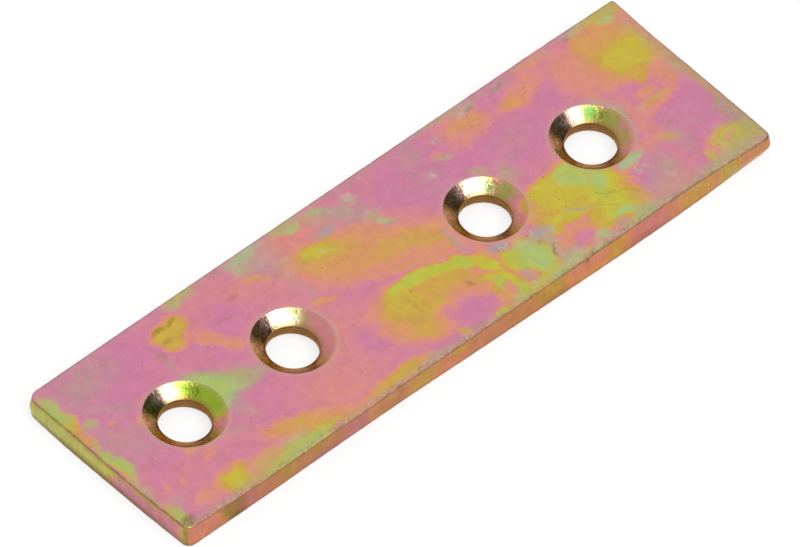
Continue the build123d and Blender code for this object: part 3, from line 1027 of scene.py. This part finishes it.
def coneMaterial(own, centre):
    x, y = centre.x / mm, centre.y / mm
    stains = [(tone, x + along, y + across, *rest) for tone, along, across, *rest in coneStains]
    stains += own["film"]
    blooms = [(own["green"], (0.27, 0.4, 0.03)), (own["straw"], (0.34, 0.34, 0.09))]
    material, made = filmMaterial("film in a countersink", "XY", stains, blooms, cone)
    # the tool chattered: faint facets, broken up by the plating, but hardly any in one calm stretch
    local = vectors("SUBTRACT", made["flat"], (x, y, 0))
    away = vectors("LENGTH", local, result="Value")
    split = parted(local)
    angle = maths("ARCTAN2", split["Y"], split["X"])
    polar = add("CombineXYZ", {0: times(angle, 5.0), 1: times(away, 0.9)}).outputs[0]
    height = plus(times(noise(polar, 1.0, 3.0, 0.6)[0], 1.3), times(made["grain"], 1.3))
    height = times(height, layStains(local, [(0.3, -1.6, -2.6, 4, 2.2, 0.4, -32)], 1.0))
    # the same marks round every countersink: the brass on the left is painted light, lifting the wall that
    # reflects the dark corner of the room; the brown below-left is painted shade over the floor's
    # reflection; then a pale salmon at the foot, the pale patch painted where the softbox highlight falls,
    # pink on the far wall beside it, and the jade glints
    colour = marked(multiplied(made["colour"], (0.96, 0.97, 0.76)), local, [
        ([(0.8, -3.5, -0.5, 1, 1.8, 0.6, 5)], (1.0, 0.62, 0.17)),
        ([(0.75, -2.3, -2.1, 1.8, 0.8, 0.6, -48)], (0.54, 0.26, 0.07)),
        ([(0.8, -0.5, -3.1, 1.4, 0.8, 0.6)], (1.0, 0.66, 0.48)),
        (own["highlightPale"], (0.64, 0.58, 0.44)),
        ([(0.7, -0.4, 3.2, 0.6, 0.9, 0.6)], (0.8, 0.44, 0.36)),
        (own["jade"], (0.08, 0.2, 0.05)),
    ])
    # dark scale in grains, and painted shade in grains thickened along both edges of the softbox highlight,
    # where the far wall turns
    highlightEdges = [(own["scale"], 2.65, 1.95, 1, 0.5, 0.7, -50), (0.9, -1.9, 2.6, 1.4, 0.9, 0.7, 40)]
    scale = plus(noise(made["mm"], 3.4, 3.0, 0.6)[0], times(layStains(local, highlightEdges), 0.22))
    pit = dots(made["mm"], 2.2, 0.16, 0.15)
    lip, mouth = boreRadius / mm, hole["mouthRadius"] / mm
    colour = tinted(
        colour,
        (fade(scale, 0.62, 0.76, 0, 0.7), (0.12, 0.13, 0.02)),
        (times(pit, 0.35), (0.16, 0.12, 0.04)),
        # painted shade in the crease where the cone turns into the bore
        (fade(away, lip + 0.5, lip + 0.1, 0, 0.65), (0.3, 0.17, 0.05)),
        (fade(away, mouth - 0.45, mouth, 0, 0.4), (0.52, 0.36, 0.2)),
    )
    finishFilm(cone, made, colour, height)
    return material


wall = dict(
    cone,
    far=(0.5, 0.3, 0),
    fine=(0.5, 0.3, 0),
    thin=0.3,
    thick=0.42,
    mottle=0.12,
    grainScale=5,
    runs=0.08,
    drawn=(0.3, 2.5, 1),
    dull=0.7,
    rough=(0.25, 0.4),
    bump=0.4,
    grazing=(0.88, 0.66, 0.52, 1),
)


def wallMaterial():
    material, made = filmMaterial("film in the bores", "XZ", [], [], wall)
    # painted shade: the whole bore darkened, dulling the grey reflections on its walls
    colour = multiplied(made["colour"], (0.6, 0.5, 0.56))
    # dark rings of painted shade, where grooves and edges would shade the bore: under the throat, where the
    # bore begins to tear, and at the back
    z = plus(made["parts"]["Z"], sway(made["mottle"], 0.12))
    for level, half in ((1.3, 0.1), (0.95, 0.08), (0.6, 0.1), (0.05, 0.15)):
        off = maths("ABSOLUTE", minus(z, level))
        colour = tint(fade(off, half * 1.6, half * 0.4, 0, 0.7), colour, (0.07, 0.045, 0.02))
    finishFilm(wall, made, colour, made["grain"])
    return material


side = dict(
    face,
    far=(0.8, 0.25, 0),
    fine=(0.9, 0.45, 0),
    thin=0.1,
    thick=0.28,
    mottle=0.24,
    grain=0.1,
    runs=0.12,
    drain=0,
    drawn=(0.14, 2.4, 1),
    dull=0.78,
    rough=(0.35, 0.5),
    bump=0.5,
    # how strong the painted shade is just under the front edge
    edge=0.4,
)
# tone, place along the side, height above the back, then as above
nearStains = [
    (yellow, -37.3, 1.2, 0.5, 1.6, 0.5), (salmon, -34.8, 1.2, 1.7, 1.6, 0.5),
    (gold, -31.8, 1.4, 1.1, 1.5, 0.6), (0.06, -29.2, 1.2, 1.3, 1.5, 0.6), (0.17, -26.6, 1.2, 1.6, 1.4, 0.6),
    (gold, -24.6, 1.5, 1.4, 1.1, 0.6), (0.36, -20, 1.7, 2.4, 1, 0.6), (rose, -19.6, 0.4, 2.2, 0.6, 0.7),
    (0.03, -15.5, 1.2, 1.8, 1.4, 0.6), (orange, -12, 1.2, 2, 1.4, 0.6), (gold, -7, 1.3, 2.2, 1.4, 0.6),
    (0.2, -1, 1.2, 4, 1.4, 0.5), (gold, -2.5, 1.9, 1, 0.5, 0.6), (orange, 5, 1.2, 2, 1.4, 0.6),
    (gold, 9.2, 1.5, 2.4, 1.2, 0.5), (0.16, 13.8, 1.7, 2.4, 0.8, 0.6), (orange, 13.8, 0.5, 2.3, 0.6, 0.6),
    (gold, 17.8, 1.2, 1.3, 1.4, 0.6), (0.06, 22.2, 1.2, 3.4, 1.4, 0.5), (gold, 28, 1.3, 2.1, 1.4, 0.5),
    (lime, 32.2, 1.3, 1.4, 1.5, 0.5), (0.08, 34, 1.2, 0.6, 1.2, 0.6), (0.22, 35.8, 1.2, 1.4, 1.4, 0.6),
]
endStains = [
    (lime, 7.6, 1.3, 2.9, 1.8, 0.4), (0.46, 2.6, 1.2, 2.7, 1.8, 0.4), (0.02, -5.6, 1.1, 4.9, 1.8, 0.2),
    (0.56, -0.6, 2.2, 2.1, 0.8, 0.3, -38), (0.35, -5.6, 2.4, 4.2, 0.35, 0.6),
    (orange, -10.5, 1.2, 0.9, 1.8, 0.7),
]
# where the shears burnt or smeared it; and on the left end two long bands, a dark one along the foot and one
# of painted shade just under the top edge
nearBurns = [
    (0.28, -23.5, 1.2, 9, 2.2, 0.4), (0.2, 3, 1.2, 5.5, 2, 0.7), (0.1, -9, 1.2, 6, 2, 0.6),
    (0.3, 20.5, 0.4, 2.2, 0.5), (0.75, -31.4, 1.3, 1.6, 0.8, 0.9, -52), (0.6, -31, 1.2, 1.1, 1.6),
    (0.9, -30.9, 0.2, 0.8, 0.5), (0.3, -26, 0.9, 2.2, 0.9), (0.3, -12, 1, 1.6, 1),
    (0.4, -10.2, 1.2, 0.5, 1.4, 0.9), (0.25, 5, 1, 1.6, 1.2), (0.35, 9.5, 0.5, 2.2, 0.5),
    (0.7, 13.7, 2.2, 0.25, 0.2, 0.5),
]
endBurnsAndShade = [
    (0.45, -10.8, 1.2, 0.6, 1.6), (0.55, -10.7, 1.4, 0.4, 1.2, 0.7), (0.75, 0, 0, 12, 0.75, 0.7),
    (0.35, -7.5, 0.8, 0.5, 0.5, 0.9), (0.3, 10.8, 1.2, 0.5, 1.6), (0.25, 0, 2.3, 12, 0.3),
]
nearPale = [(0.45, 30.5, 1.4, 6, 1.8, 0.5), (0.3, 35.8, 1.6, 1.6, 1)]
endStraw = [(0.65, 5.6, 1.6, 6.2, 1.6, 0.4), (0.45, -10.7, 1.2, 0.9, 1.8), (0.3, -4, 2.3, 4, 0.4)]
warm, cool = (1.0, 0.89, 0.66), (0.98, 1.0, 0.86)
sides = [
    ("film on the near side", "XZ", nearStains, [(nearPale, (0.6, 0.36, 0.16))], nearBurns, warm),
    ("film on the left end", "YZ", endStains, [(endStraw, (0.54, 0.6, 0.2))], endBurnsAndShade, cool),
    ("film on the far side and right end", "XZ", [], [], [], warm),
]


def sideMaterial(name, axes, stains, blooms, burnsAndShade, hue):
    material, made = filmMaterial(name, axes, stains, blooms, side)
    colour = multiplied(made["colour"], hue)
    # burnt and smeared marks, and on the left end painted shade under the top edge
    if burnsAndShade:
        colour = marked(colour, made["crawled"], [(burnsAndShade, (0.16, 0.08, 0.02))])
    # the shears raked it: fine strokes, leaning
    lean = {"Vector": made["flat"], "Rotation": (0, 0, math.radians(-22)), "Scale": (2.6, 0.3, 1)}
    rake = noise(add("Mapping", lean).outputs[0], 1.0, 5.0, 0.7)[0]
    # darker towards the back, and painted shade just under the front edge: a dark line for the dark room
    # that the rounding reflects
    z = plus(made["parts"]["Z"], sway(made["mottle"], 0.3))
    pit = dots(made["mm"], 1.6, 0.16, 0.25)
    colour = tinted(
        colour,
        (fade(rake, 0.42, 0.66, 0, 0.4), (0.42, 0.19, 0.06)),
        (fade(z, 0.45, 0.0, 0, 0.5), (0.14, 0.09, 0.03)),
        (fade(z, 2.26, 2.44, 0, side["edge"]), (0.2, 0.12, 0.05)),
        (times(pit, 0.5), (0.12, 0.07, 0.03)),
    )
    finishFilm(side, made, colour, plus(plus(made["grain"], made["runs"]), rake))
    return material


back = dict(face, thin=-0.1, thick=0.34, runs=0.25, dull=0.85)


def backMaterial():
    material, made = filmMaterial("film on the back", "XY", [], [], back)
    colour = tint(times(dots(made["mm"], 1.15, 0.13, 0.22), 0.6), made["colour"], (0.16, 0.1, 0.04))
    finishFilm(back, made, colour, made["grain"])
    return material


coats = []
for (start, end), centre, own in zip(fields, holeCentres, holeMarks):
    coats += [faceMaterial((start / mm, end / mm), centre), coneMaterial(own, centre)]
coats += [wallMaterial(), *[sideMaterial(*spec) for spec in sides], backMaterial()]
for coat in coats:
    plate.data.materials.append(coat)
for poly, covering in zip(plate.data.polygons, coverings):
    poly.material_index = covering
inset = plate.data.attributes.new("inset", "FLOAT", "POINT")
for spot, depth in zip(inset.data, insets):
    spot.value = depth
print("film laid")
